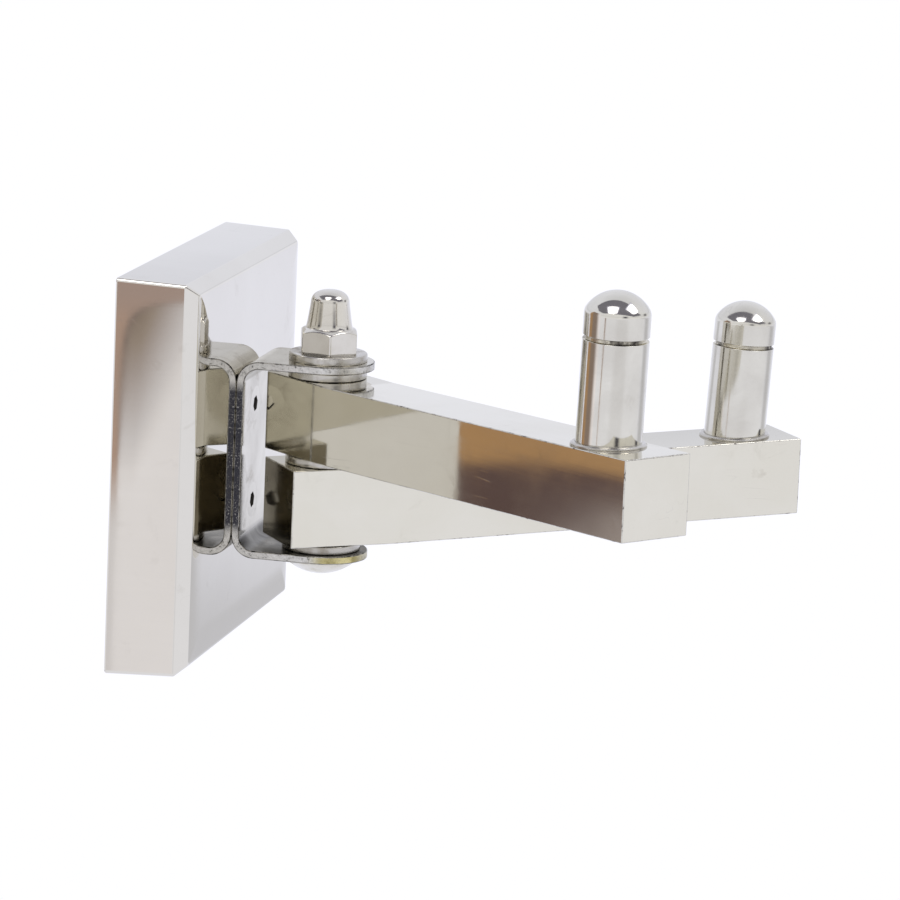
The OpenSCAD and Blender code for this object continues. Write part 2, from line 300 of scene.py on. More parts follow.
def steel(name, tone=(0.66, 0.65, 0.635), tone2=(0.62, 0.605, 0.585), rough=0.035, rough2=0.09, grain=(8, 400, 400),
          grain_gain=0.03, wave=1.5e-5, wave_scale=60.0, scratch=0.35, scratch_scale=1.0, dirt_and_glint=0.25,
          dirt_and_glint_tone=(0.30, 0.26, 0.20), dirt_and_glint_from=0.62, seed=0.0, speck=0.5, pit=0.0, cloud=28.0, shade_heights=None):
    """polished metal: soft tone drift, smudges that are dirt (on the bolt head, painted golden reflection), fine lines
    along the polishing, scratches, specks, faint waviness, and a mottled band of painted shade over given heights
    """
    m, nt = tree(name)
    L = nt.links.new
    tc = node(nt, "ShaderNodeTexCoord")
    obj = tc.outputs["Object"]
    off = stretch(nt, obj, (1, 1, 1), loc=(seed * 0.37, seed * 0.19, seed * 0.53))
    big = noise(nt, off, cloud, 4.0, 0.55, 0.4)
    mid = noise(nt, off, 130.0, 5.0, 0.6, 0.8)
    fine = noise(nt, off, 900.0, 3.0, 0.6)
    lines = noise(nt, stretch(nt, off, grain), 1.0, 4.0, 0.65)
    hair = noise(nt, stretch(nt, off, tuple(g * 4 for g in grain)), 1.0, 2.0, 0.5)
    # scratches: thin level lines of stretched noise, broken up by a mask
    s1 = noise(nt, stretch(nt, off, (30 * scratch_scale, 260 * scratch_scale, 260 * scratch_scale),
                           rot=(0.2, 0.3, 0.35)), 1.0, 1.0, 0.4, 0.2)
    s2 = noise(nt, stretch(nt, off, (24 * scratch_scale, 300 * scratch_scale, 300 * scratch_scale),
                           rot=(-0.3, -0.2, -0.5), loc=(3.1, 1.7, 0.4)), 1.0, 1.0, 0.4, 0.2)
    l1 = span(nt, maths(nt, "ABSOLUTE", maths(nt, "SUBTRACT", s1, 0.5)), 0.0, 0.006, 1.0, 0.0)
    l2 = span(nt, maths(nt, "ABSOLUTE", maths(nt, "SUBTRACT", s2, 0.47)), 0.0, 0.005, 1.0, 0.0)
    m1 = span(nt, noise(nt, stretch(nt, off, (1, 1, 1), loc=(1.3, 0.2, 0.9)), 75.0, 2.0), 0.60, 0.68, 0.0, scratch)
    m2 = span(nt, noise(nt, stretch(nt, off, (1, 1, 1), loc=(0.3, 2.2, 1.9)), 90.0, 2.0), 0.62, 0.70, 0.0, scratch)
    scr = maths(nt, "MAXIMUM", maths(nt, "MULTIPLY", l1, m1), maths(nt, "MULTIPLY", l2, m2))
    # small dark specks
    vor = node(nt, "ShaderNodeTexVoronoi", feature="F1")
    vor.inputs["Scale"].default_value = 210.0
    vor.inputs["Randomness"].default_value = 1.0
    L(off, vor.inputs["Vector"])
    dot = span(nt, vor.outputs["Distance"], 0.035, 0.075, 1.0, 0.0)
    pick = span(nt, noise(nt, stretch(nt, off, (1, 1, 1), loc=(5.1, 3.2, 2.9)), 55.0, 2.0), 0.66, 0.70, 0.0, speck)
    specks = maths(nt, "MULTIPLY", dot, pick)
    # tone
    col = blend_rgb(nt, span(nt, big, 0.35, 0.65), tone, tone2)
    # blotches: dirt on most parts; on the bolt head they are painted golden reflection
    dirt_and_glint_mask = maths(nt, "MULTIPLY", span(nt, mid, dirt_and_glint_from, dirt_and_glint_from + 0.16, 0.0, dirt_and_glint), span(nt, big, 0.45, 0.6))
    col = blend_rgb(nt, dirt_and_glint_mask, col, dirt_and_glint_tone)
    col = blend_rgb(nt, span(nt, lines, 0.3, 0.7, 0.0, 0.10), col, tuple(0.86 * t for t in tone))
    col = blend_rgb(nt, maths(nt, "MULTIPLY", scr, 0.45), col, (0.35, 0.33, 0.31))
    col = blend_rgb(nt, specks, col, (0.10, 0.08, 0.06))
    shade_mask = None
    # painted shade: a mottled near-black band between the given heights (m), darkening the strap web just above the
    # lower leg and that leg's upper face
    if shade_heights:
        sep = node(nt, "ShaderNodeSeparateXYZ")
        L(obj, sep.inputs[0])
        shade_mask = maths(nt, "MULTIPLY", span(nt, sep.outputs["Z"], shade_heights[0], shade_heights[0] + 0.0006, smooth=True),
                     span(nt, sep.outputs["Z"], shade_heights[1] - 0.002, shade_heights[1], 1.0, 0.0, smooth=True))
        shade_mask = maths(nt, "MULTIPLY", shade_mask, span(nt, mid, 0.40, 0.60, 1.0, 0.74))
        col = blend_rgb(nt, shade_mask, col, (0.115, 0.11, 0.10))
    # roughness
    r = span(nt, big, 0.4, 0.7, rough, rough2)
    r = maths(nt, "ADD", r, span(nt, lines, 0.35, 0.75, 0.0, grain_gain))
    r = maths(nt, "ADD", r, maths(nt, "MULTIPLY", dirt_and_glint_mask, 0.35))
    r = maths(nt, "ADD", r, maths(nt, "MULTIPLY", scr, 0.25))
    r = maths(nt, "ADD", r, maths(nt, "MULTIPLY", specks, 0.4))
    if shade_mask is not None:
        r = maths(nt, "ADD", r, maths(nt, "MULTIPLY", shade_mask, 0.22))
    # relief
    b1 = node(nt, "ShaderNodeBump")
    b1.inputs["Strength"].default_value = 1.0
    b1.inputs["Distance"].default_value = wave
    L(noise(nt, off, wave_scale, 1.0, 0.4), b1.inputs["Height"])
    b2 = node(nt, "ShaderNodeBump", invert=True)
    b2.inputs["Strength"].default_value = 1.0
    b2.inputs["Distance"].default_value = 1.2e-6 + pit
    L(maths(nt, "ADD", maths(nt, "ADD", maths(nt, "MULTIPLY", hair, 0.35), maths(nt, "MULTIPLY", fine, 0.25)),
            maths(nt, "ADD", maths(nt, "MULTIPLY", scr, 2.0), maths(nt, "MULTIPLY", specks, 2.0))), b2.inputs["Height"])
    L(b1.outputs["Normal"], b2.inputs["Normal"])
    p = node(nt, "ShaderNodeBsdfPrincipled")
    p.inputs["Metallic"].default_value = 1.0
    L(col, p.inputs["Base Color"])
    L(r, p.inputs["Roughness"])
    L(b2.outputs["Normal"], p.inputs["Normal"])
    out = node(nt, "ShaderNodeOutputMaterial")
    L(p.outputs[0], out.inputs["Surface"])
    return m


def cut_steel(name, tone=(0.62, 0.60, 0.57), dark=(0.16, 0.14, 0.11), rough=0.22, rough2=0.5, scale=900.0, relief=2.5e-5,
               share=0.55, seed=0.0, shade_band=None, shade_band_tone=(0.05, 0.05, 0.06), gold_glint=None):
    """sheared or rubbed edges: bright metal with dark pits and drag marks; the shade band gives heights (m) blackened
    as painted shade;
    the gold glint gives a top height and the two depths (m) between which a blotchy yellow painted reflection lies on
    the metal"""
    m, nt = tree(name)
    L = nt.links.new
    tc = node(nt, "ShaderNodeTexCoord")
    off = stretch(nt, tc.outputs["Object"], (1, 1, 1), loc=(seed * 0.31, seed * 0.57, seed * 0.11))
    a = noise(nt, off, scale, 4.0, 0.7)
    b = noise(nt, off, scale * 0.22, 3.0, 0.6, 0.5)
    c = noise(nt, off, scale * 2.7, 2.0, 0.6)
    pits = maths(nt, "MULTIPLY", span(nt, a, share, share + 0.10), span(nt, b, 0.42, 0.62))
    col = blend_rgb(nt, span(nt, b, 0.3, 0.7), tone, tuple(0.82 * t for t in tone))
    col = blend_rgb(nt, pits, col, dark)
    # painted shade: near-black over the cut edges between the given heights
    if shade_band:
        sep = node(nt, "ShaderNodeSeparateXYZ")
        L(tc.outputs["Object"], sep.inputs[0])
        f = maths(nt, "MULTIPLY", span(nt, sep.outputs["Z"], shade_band[0], shade_band[0] + 0.003, smooth=True),
                  span(nt, sep.outputs["Z"], shade_band[1] - 0.003, shade_band[1], 1.0, 0.0, smooth=True))
        f = maths(nt, "MULTIPLY", f, span(nt, a, 0.56, 0.64, 1.0, 0.25))
        col = blend_rgb(nt, f, col, shade_band_tone)
    # painted reflection: a blotchy golden yellow on the cut edges below the top height, between the two depths
    if gold_glint:
        f = maths(nt, "MULTIPLY", span(nt, sep.outputs["Z"], gold_glint[0] - 0.001, gold_glint[0], 1.0, 0.0),
                  maths(nt, "MULTIPLY", span(nt, sep.outputs["Y"], gold_glint[1], gold_glint[1] + 0.003, smooth=True),
                        span(nt, sep.outputs["Y"], gold_glint[2] - 0.004, gold_glint[2], 1.0, 0.0, smooth=True)))
        spot = noise(nt, stretch(nt, off, (1, 1, 1), loc=(0.4, 0.7, 0.2)), 330.0, 3.0, 0.55)
        glint_yellow = blend_rgb(nt, span(nt, spot, 0.38, 0.60), (0.60, 0.53, 0.25), (0.30, 0.255, 0.095))
        col = blend_rgb(nt, maths(nt, "MULTIPLY", f, span(nt, pits, 0.0, 1.0, 0.95, 0.5)), col, glint_yellow)
    r = maths(nt, "ADD", span(nt, c, 0.3, 0.7, rough, rough2), maths(nt, "MULTIPLY", pits, 0.3))
    bp = node(nt, "ShaderNodeBump", invert=True)
    bp.inputs["Strength"].default_value = 0.8
    bp.inputs["Distance"].default_value = relief
    L(maths(nt, "ADD", maths(nt, "MULTIPLY", a, 0.7), pits), bp.inputs["Height"])
    p = node(nt, "ShaderNodeBsdfPrincipled")
    p.inputs["Metallic"].default_value = 1.0
    L(col, p.inputs["Base Color"])
    L(r, p.inputs["Roughness"])
    L(bp.outputs["Normal"], p.inputs["Normal"])
    out = node(nt, "ShaderNodeOutputMaterial")
    L(p.outputs[0], out.inputs["Surface"])
    return m


M_COVER = steel("cover polish", tone=(0.745, 0.722, 0.662), tone2=(0.715, 0.690, 0.630), rough=0.022, rough2=0.05,
                grain=(500, 9, 500), grain_gain=0.010, wave=2.2e-5, wave_scale=45, scratch=0.3, dirt_and_glint=0.2, seed=1.0)
M_BAR = steel("bar polish", tone=(0.748, 0.722, 0.635), tone2=(0.718, 0.690, 0.595), rough=0.035, rough2=0.10,
              grain=(10, 420, 420), grain_gain=0.03, wave=1.2e-5, wave_scale=55, scratch=0.55, dirt_and_glint=0.3, seed=2.0, cloud=45)
M_BAR2 = steel("bar polish lower", tone=(0.748, 0.722, 0.635), tone2=(0.718, 0.690, 0.595), rough=0.035, rough2=0.10,
               grain=(10, 420, 420), grain_gain=0.03, wave=1.2e-5, wave_scale=55, scratch=0.55, dirt_and_glint=0.3, seed=3.3, cloud=45)
M_PEG = steel("peg polish", tone=(0.72, 0.70, 0.632), tone2=(0.635, 0.612, 0.552), rough=0.06, rough2=0.12,
              grain=(60, 60, 1500), grain_gain=0.05, wave=1.0e-5, wave_scale=80, scratch=0.35, dirt_and_glint=0.4, seed=4.1, cloud=120)
M_PEG2 = steel("peg polish lower", tone=(0.72, 0.70, 0.632), tone2=(0.635, 0.612, 0.552), rough=0.07, rough2=0.14,
               grain=(60, 60, 1500), grain_gain=0.05, wave=1.0e-5, wave_scale=80, scratch=0.35, dirt_and_glint=0.4, seed=5.7, cloud=120)
# strap: the two heights given last darken the web above the lower leg as painted shade
M_STRAP = steel("strap polish", tone=(0.72, 0.695, 0.615), tone2=(0.53, 0.505, 0.44), rough=0.07, rough2=0.17,
                grain=(420, 12, 30), grain_gain=0.05, wave=2.5e-5, wave_scale=90, scratch=0.5, dirt_and_glint=0.8, seed=6.2,
                dirt_and_glint_from=0.52, cloud=60, shade_heights=(-0.0198, -0.0155))
M_HARD = steel("hardware polish", tone=(0.70, 0.675, 0.62), tone2=(0.63, 0.60, 0.54), rough=0.06, rough2=0.12,
               grain=(80, 80, 1200), grain_gain=0.05, wave=1.2e-5, wave_scale=150, scratch=0.4, dirt_and_glint=0.5,
               dirt_and_glint_from=0.56, seed=7.9, cloud=150)
# bolt head: its yellowish second tone and blotch tone are painted golden reflections on the polished steel
M_BOLT = steel("bolt head", tone=(0.74, 0.72, 0.67), tone2=(0.60, 0.57, 0.47), rough=0.10, rough2=0.20,
               grain=(300, 300, 300), grain_gain=0.05, wave=3.0e-5, wave_scale=220, scratch=0.5, dirt_and_glint=0.6,
               dirt_and_glint_tone=(0.30, 0.26, 0.14), dirt_and_glint_from=0.54, seed=3.7, cloud=130)
M_HEEL = steel("bar heel", tone=(0.25, 0.225, 0.165), tone2=(0.19, 0.165, 0.115), rough=0.09, rough2=0.18,
               grain=(300, 300, 20), grain_gain=0.06, wave=3.0e-5, wave_scale=120, scratch=0.6, dirt_and_glint=0.6,
               dirt_and_glint_tone=(0.12, 0.10, 0.06), dirt_and_glint_from=0.54, seed=6.6, cloud=90)
M_WASH = steel("washer steel", tone=(0.58, 0.56, 0.52), tone2=(0.46, 0.44, 0.40), rough=0.16, rough2=0.30,
               grain=(300, 300, 1200), grain_gain=0.08, wave=1.5e-5, wave_scale=200, scratch=0.5, dirt_and_glint=0.6,
               dirt_and_glint_from=0.52, seed=8.3, cloud=120)
M_SCREW = steel("screw steel", tone=(0.17, 0.16, 0.15), tone2=(0.11, 0.105, 0.095), rough=0.40, rough2=0.55,
                grain=(900, 900, 200), grain_gain=0.08, wave=1.0e-5, wave_scale=300, scratch=0.5, dirt_and_glint=0.5,
                dirt_and_glint_from=0.5, seed=9.4, cloud=200)
M_SHEET = steel("bracket sheet", tone=(0.56, 0.555, 0.55), tone2=(0.48, 0.475, 0.465), rough=0.26, rough2=0.38,
                grain=(420, 420, 14), grain_gain=0.12, wave=2.0e-5, wave_scale=60, scratch=0.7, dirt_and_glint=0.45,
                dirt_and_glint_from=0.55, seed=10.8, pit=2e-6)
M_PLAIN = steel("plain steel", tone=(0.50, 0.49, 0.475), tone2=(0.42, 0.41, 0.39), rough=0.24, rough2=0.36,
                grain=(400, 400, 400), grain_gain=0.1, wave=1.0e-5, wave_scale=250, scratch=0.5, dirt_and_glint=0.5,
                dirt_and_glint_from=0.52, seed=11.6, pit=2e-6)
# strap cut edges: pitted metal; the web's side edges between the legs are blackened as painted shade, and the lower
# leg's cut edges near its end carry a painted golden reflection
M_EDGE = cut_steel("strap cut edge", tone=(0.66, 0.645, 0.61), dark=(0.06, 0.055, 0.05), rough=0.18, rough2=0.42,
                   scale=2300.0, relief=2.0e-5, share=0.53, seed=1.0, shade_band=(-0.0165, 0.0160), gold_glint=(-0.0175, -0.0445, -0.0325))
# rounded strap edges: pitted metal (real) whose tone is kept dark as a painted reflection of dark surroundings
M_RIM = cut_steel("strap rim", tone=(0.34, 0.325, 0.29), dark=(0.03, 0.028, 0.025), rough=0.15, rough2=0.35,
                  scale=1300.0, relief=1.5e-5, share=0.42, seed=3.0)
M_RUB = cut_steel("bar rubbed edge", tone=(0.66, 0.64, 0.58), dark=(0.16, 0.14, 0.13), rough=0.10, rough2=0.26,
                  scale=1300.0, relief=8e-6, share=0.50, seed=2.0)
# peg groove: warm metal heavily pitted near-black, partly grime and partly painted shade inside the groove
M_GROOVE = cut_steel("peg groove", tone=(0.62, 0.58, 0.47), dark=(0.035, 0.03, 0.03), rough=0.12, rough2=0.30,
                     scale=620.0, relief=8e-6, share=0.36, seed=4.0)


def dress(o, *mats):
    keep = [p.material_index for p in o.data.polygons]
    o.data.materials.clear()
    for m in mats:
        o.data.materials.append(m)
    o.data.polygons.foreach_set("material_index", [min(k, len(mats) - 1) for k in keep])
    return o


def settle(o, body, slot, *nodes):
    even(o)
    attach(o, body)
    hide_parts(*nodes)
    return o


# ---------------------------------------------------------------- cover
def square_ring(y, h, r, seg=5):
    """rounded square in X and Z at depth y, counted from the middle of the right side"""
    out = []
    for cx, cz, a0 in ((1, 1, 0), (-1, 1, 90), (-1, -1, 180), (1, -1, 270)):
        for k in range(seg + 1):
            a = math.radians(a0 + 90 * k / seg)
            out.append((cx * (h - r) + r * math.cos(a), y, cz * (h - r) + r * math.sin(a)))
    return out


def side_h(y, t=0.0):
    return 40 - t + y * 0.6 / 17


def cham_h(y):
    return side_h(-14.1) + 0.83 * (y + 14.1)


def face_at(h):
    """the front face rolls back a little toward its edges"""
    return -17.0 + 0.42 * max(0.0, (h - 30.5) / 6.94) ** 2.5


bm = bmesh.new()
steps = [(-15.6, 35.2, 0.5), (-15.5, 35.6, 0.5), (-13.3, 37.6, 0.6), (-12.9, side_h(-12.9, 1.4), 0.6),
         (-0.35, side_h(-0.35, 1.4), 0.6), (-0.08, side_h(0, 1.32), 0.6), (0.0, side_h(0, 1.15), 0.6),
         (0.0, side_h(0, 0.28), 0.85), (-0.09, side_h(0, 0.08), 0.8), (-0.35, side_h(-0.35), 0.75),
         (-13.94, side_h(-13.94), 0.75), (-14.08, side_h(-14.08) - 0.015, 0.75), (-14.20, cham_h(-14.20) - 0.01, 0.75),
         (-14.34, cham_h(-14.34), 0.75), (-16.28, cham_h(-16.28), 0.6), (-16.42, cham_h(-16.42) - 0.02, 0.6),
         (-16.52, cham_h(-16.52) - 0.07, 0.6), (-16.585, 37.28, 0.6)]
steps += [(face_at(h), h, 0.6) for h in (37.0, 36.6, 36.1, 35.5, 34.8, 34.0, 33.1, 32.1, 31.2, 30.5)]
vs = skin(bm, [square_ring(*s) for s in steps], cap_first=True, cap_last=True)
block(bm, -14, 14, -5.8, -3.4, 35.3, 38.5)
cover = add("cover_shell", to_mesh(bm, "cover_shell", 50))
cut(cover, rod(2.3, -4, 4), Matrix.Translation(Vector((0, -7, -39)) * MM), 50)
dress(cover, M_COVER)
settle(cover, "wall_part", "polished_cover", "cover_plate")

# ---------------------------------------------------------------- wall bracket, plate, small hardware
bracket = dress(add("bracket", from_frame("wall_bracket", 0.3, 3)), M_SHEET)
settle(bracket, "wall_part", "bracket_sheet", "wall_bracket")
plate = dress(add("spreader_plate", from_frame("backing_plate", 0.35, 3)), M_SHEET)
settle(plate, "wall_part", "bracket_sheet", "backing_plate")
grub = dress(add("lock_screw", from_frame("cover_set_screw", 0.12, 2)), M_SCREW)
settle(grub, "wall_part", "screw_steel", "cover_set_screw")
for tag, z in (("top", 9.5), ("low", -10.5)):
    bm = bmesh.new()
    prof = [(0, 0.0), (3.598, 0.0), (2.06, -1.52), (2.0, -4.6)]
    for k in range(9):
        prof += [(1.99, -4.7 - 0.7 * k), (1.74, -5.05 - 0.7 * k)]
    prof += [(1.9, -11.1), (1.6, -11.45), (0, -11.45)]
    revolve(bm, prof, 96)
    o = add("web_screw_" + tag, to_mesh(bm, "web_screw_" + tag, 50))
    bm = bmesh.new()
    revolve(bm, [(0, -1.8), (0.4, -1.8), (1.674, -1.55), (1.674, 1.0), (0, 1.0)], 6)
    bmesh.ops.recalc_face_normals(bm, faces=bm.faces[:])
    me = bpy.data.meshes.new("socket")
    bm.to_mesh(me)
    bm.free()
    cut(o, me, Matrix.Rotation(0.2, 4, "Z"), 40)
    for p in o.data.polygons:
        if p.center.z < -0.01 * MM and p.center.xy.length < 1.75 * MM:
            p.material_index = 1
    o.matrix_world = Matrix.Translation(Vector((0, -18.597, z)) * MM) @ Matrix.Rotation(math.radians(90), 4, "X")
    dress(o, M_STRAP, M_SCREW)
    settle(o, "wall_part", "screw_steel", "clevis_screws")
springs = dress(add("spring_washers", from_frame("clevis_lock_washers", 0.1, 2)), M_PLAIN)
settle(springs, "wall_part", "plain_steel", "clevis_lock_washers")
nuts = dress(add("web_nuts", from_frame("clevis_nuts", 0.2, 3)), M_PLAIN)
settle(nuts, "wall_part", "plain_steel", "clevis_nuts")


# ---------------------------------------------------------------- clevis
def sheared(f):
    c, n = f.calc_center_median(), f.normal
    return abs(n.x) > 0.7 or (c.y < (PIVOT_Y - 0.5) * MM and abs(n.z) < 0.3 and c.xy.length > 0)


def on_bore(f):
    c = f.calc_center_median()
    return math.hypot(c.x, c.y - PIVOT_Y * MM) < 5 * MM


def off_web_holes(e):
    c = (e.verts[0].co + e.verts[1].co) / 2
    return c.y < -18.7 * MM or min(math.hypot(c.x, c.z - z * MM) for z in (9.5, -10.5)) > 4.2 * MM


clevis = dress(add("clevis_strap", from_frame("clevis", 0.22, 3, mark=lambda f: sheared(f) and not on_bore(f),
                                              edge_mat=1, pick=off_web_holes)), M_STRAP, M_RIM, M_EDGE)
settle(clevis, "wall_part", "polished_strap", "clevis")

# ---------------------------------------------------------------- pivot stack
AT_PIVOT = Matrix.Translation(Vector((0, PIVOT_Y, 0)) * MM)


def washer(name, node_name, z0, z1, ro=8.0, ri=3.325, round_top=0.28, round_low=0.16, turn=0.0):
    prof = fillet([(ri, z0, 0.1), (ro, z0, round_low), (ro - 0.04, z1, round_top), (ri, z1, 0.15)], closed=True, seg=4)
    bm = bmesh.new()
    revolve(bm, prof, 144, closed=True)
    o = add(name, to_mesh(bm, name, 60), AT_PIVOT @ Matrix.Rotation(turn, 4, "Z"))
    dress(o, M_WASH)
    return settle(o, "wall_part", "washer_steel", node_name)


washer("washer_nut", "nut_washer", 19.81, 21.41, turn=0.3)
washer("washer_top", "upper_leg_washer", 16.5, 18.1, turn=1.1)
washer("washer_mid", "centre_washer", -1.3, 0.3, turn=2.2)
washer("washer_low", "lower_leg_washer", -19.1, -17.5, turn=3.0)

# bolt: low dome head, square neck, shank
bm = bmesh.new()
head_top = LEG_BOT - 0.02
rim, hh, hr = 0.6, 3.5, 7.35
dr = (hr ** 2 + (hh - rim) ** 2) / (2 * (hh - rim))
zc = head_top - hh + dr
prof = [(0, head_top - hh)]
for k in range(1, 15):
    a = math.asin(hr / dr) * k / 14 * 0.985
    prof.append((dr * math.sin(a), zc - dr * math.cos(a)))
prof += fillet([(prof[-1][0], prof[-1][1], 0), (hr, head_top - rim, 0.25), (hr, head_top, 0.18), (BOLT_R, head_top, 0)],
               seg=4)[1:]
prof += [(BOLT_R, NUT_SEAT + 8.9), (BOLT_R - 0.6, NUT_SEAT + 9.5), (0, NUT_SEAT + 9.5)]
revolve(bm, prof, 128)
block(bm, -BOLT_R, BOLT_R, -BOLT_R, BOLT_R, head_top - 0.2, head_top + 1.5)
bolt = dress(add("hinge_bolt", to_mesh(bm, "hinge_bolt", 45), AT_PIVOT), M_BOLT)
settle(bolt, "wall_part", "bright_hardware", "pivot_bolt")

# cap nut: chamfered hexagon, cone and small dome
NAF = 11.1 / 2
NRC = NAF / math.cos(math.radians(30))


def soft_min(vals, k=9.0):
    return -math.log(sum(math.exp(-k * v) for v in vals)) / k


def hex_r(phi):
    a = (phi - math.radians(17) + math.radians(30)) % math.radians(60) - math.radians(30)
    # flats are centred at 30 degrees from the corners
    b = (phi - math.radians(17)) % math.radians(60) - math.radians(30)
    return NAF / math.cos(b)


bm = bmesh.new()
NSEG = 240
rings = []


def nut_ring(z, extra):
    out = []
    for j in range(NSEG):
        phi = 2 * math.pi * j / NSEG
        r = soft_min([hex_r(phi)] + extra, 14.0) if extra else hex_r(phi)
        out.append((r * math.cos(phi), r * math.sin(phi), z))
    return out


levels = [0.0, 0.05, 0.12, 0.2, 0.3, 0.42, 0.6, 0.9, 1.4, 2.0, 2.6, 3.2, 3.6, 3.9, 4.1, 4.25, 4.4, 4.5, 4.6, 4.7, 4.8, 4.88, 4.95]
for z in levels:
    low = NRC - 0.28 + z * 1.1 + 0.08
    top = NAF - 0.42 + (5.0 - z) * 1.42
    rings.append(nut_ring(z, [low, top, NRC + 0.06]))
inner = [(3.205, 9.5), (3.205, 0.12), (3.4, 0.0)]
low_rings = [[(r * math.cos(2 * math.pi * j / NSEG), r * math.sin(2 * math.pi * j / NSEG), z) for j in range(NSEG)]
             for r, z in inner]
r0, r1, ch, dh = 4.7, 3.8, 10.9, 1.9


def cone_r(z):
    return r0 - (r0 - r1) * (z - 5.0) / (ch - 5.0)


top_prof = [(5.08, 4.985), (4.84, 5.0), (4.77, 5.03), (4.72, 5.12)]
top_prof += [(cone_r(z) - 0.005, z) for z in (6.2, 7.2, 8.2)]
top_prof.append((cone_r(9.3) - 0.005, 9.3))
ra, za = cone_r(10.0), 10.0
for k in range(1, 22):
    t = math.pi / 2 * k / 22
    top_prof.append((ra * math.cos(t) ** 0.8, za + (ch + dh - 0.01 - za) * math.sin(t) ** 0.86))
top_rings = [[(r * math.cos(2 * math.pi * j / NSEG), r * math.sin(2 * math.pi * j / NSEG), z) for j in range(NSEG)]
             for r, z in top_prof]
skin(bm, low_rings + rings + top_rings, cap_first=True, cap_last=True)
nut = dress(add("dome_nut", to_mesh(bm, "dome_nut", 60), AT_PIVOT @ Matrix.Translation((0, 0, NUT_SEAT * MM))), M_HARD)
settle(nut, "wall_part", "bright_hardware", "cap_nut")

# ---------------------------------------------------------------- arms, pegs, foot rings
def arm_place(swing, top):
    return Matrix.Translation(Vector((0, PIVOT_Y, top)) * MM) @ Matrix.Rotation(math.radians(-90 - swing), 4, "Z")


def make_arm(name, mat):
    bm = bmesh.new()
    tr = math.tan(RISE)
    top = [(-HEEL, 0), (11.2, 0), (12.8, 0.8 * tr), (REACH, (REACH - PAD) * tr)]
    prof = top + [(x, z - BAR) for x, z in reversed(top)]
    a = [bm.verts.new(Vector((x, -BAR / 2, z)) * MM) for x, z in prof]
    b = [bm.verts.new(Vector((x, BAR / 2, z)) * MM) for x, z in prof]
    n = len(prof)
    bm.faces.new(a)
    bm.faces.new(list(reversed(b)))
    for i in range(n):
        k = (i + 1) % n
        bm.faces.new((a[i], b[i], b[k], a[k]))
    bmesh.ops.recalc_face_normals(bm, faces=bm.faces[:])
    for f in bm.faces:
        if f.calc_center_median().x < (-HEEL + 0.05) * MM:
            f.material_index = 2
    bevel(bm, 0.24, 3, 25, 1)
    return add(name, to_mesh(bm, name, 40))


def make_peg(name, at, lean, tall):
    bm = bmesh.new()
    tall -= 0.01
    zs = tall - DOME_H
    rf = 2.2
    q = PEG_R - rf
    cr = (q * q + DOME_H ** 2 - rf ** 2) / (2 * (DOME_H - rf))
    zc = tall - cr
    gz = zs - 4.1 - 0.9
    a0 = math.atan2(zs - zc, q)
    body = fillet([(PEG_R - 0.5, -0.28, 0), (PEG_R, -0.28, 0.1), (PEG_R, gz, 0.1), (PEG_R - 0.45, gz + 0.15, 0.08),
                   (PEG_R - 0.45, gz + 0.75, 0.08), (PEG_R, gz + 0.9, 0.1), (PEG_R, zs, 0)], seg=3)
    prof = [(0, -0.28)] + body
    for i in range(1, 15):
        a = a0 * i / 14
        prof.append((q + rf * math.cos(a), zs + rf * math.sin(a)))
    for i in range(1, 19):
        a = a0 + (math.pi / 2 - a0) * i / 18
        prof.append((cr * math.cos(a) if i < 18 else 0, zc + cr * math.sin(a)))
    revolve(bm, prof, 160)
    for f in bm.faces:
        c = f.calc_center_median()
        if gz * MM < c.z < (gz + 0.9) * MM and c.xy.length < (PEG_R - 0.04) * MM:
            f.material_index = 1
    base = Vector((at, 0, (at - PAD) * math.tan(RISE))) * MM
    bm.transform(Matrix.Translation(base) @ Matrix.Rotation(math.radians(lean), 4, "Y"))
    return add(name, to_mesh(bm, name, 50))


def make_foot(name, at):
    bm = bmesh.new()
    prof = fillet([(PEG_R + 0.03, 0.0, 0), (7.38, 0.0, 0.03), (7.38, 0.36, 0.12), (7.0, 0.6, 0.1), (PEG_R + 0.03, 0.6, 0)],
                  closed=True, seg=3)
    revolve(bm, prof, 144, closed=True)
    base = Vector((at, 0, (at - PAD) * math.tan(RISE) + 0.01)) * MM
    bm.transform(Matrix.Translation(base) @ Matrix.Rotation(-RISE, 4, "Y"))
    return add(name, to_mesh(bm, name, 40))


for side, swing, top, at, lean, tall, bar_mat, peg_mat in (
        ("upper", 39.0, UPPER_TOP, 89.8, 2.0, 30.0, M_BAR, M_PEG),
        ("lower", -36.4, LOWER_TOP, 92.8, 3.0, 28.6, M_BAR2, M_PEG2)):
    place = arm_place(swing, top)
    body = side + "_hook"
    arm = make_arm(side + "_bar", bar_mat)
    cut(arm, rod(3.225, -20, 5, 128), Matrix.Identity(4), 40)
    arm.matrix_world = place
    dress(arm, bar_mat, M_RUB, M_HEEL)
    settle(arm, body, "polished_bar", side + "_arm")
    peg = make_peg(side + "_post", at, lean, tall)
    peg.matrix_world = place
    dress(peg, peg_mat, M_GROOVE)
    settle(peg, body, "polished_peg", side + "_peg")
    foot = make_foot(side + "_foot_ring", at)
    foot.matrix_world = place
    dress(foot, M_WASH)
    settle(foot, body, "polished_peg", side + "_peg_ring")


# ---------------------------------------------------------------- studio
def glow(name, build):
    m, nt = tree(name)
    tc = node(nt, "ShaderNodeTexCoord")
    e = node(nt, "ShaderNodeEmission")
    col = build(nt, tc)
    if col is not None:
        nt.links.new(col, e.inputs["Color"])
    out = node(nt, "ShaderNodeOutputMaterial")
    nt.links.new(e.outputs[0], out.inputs["Surface"])
    return m, e


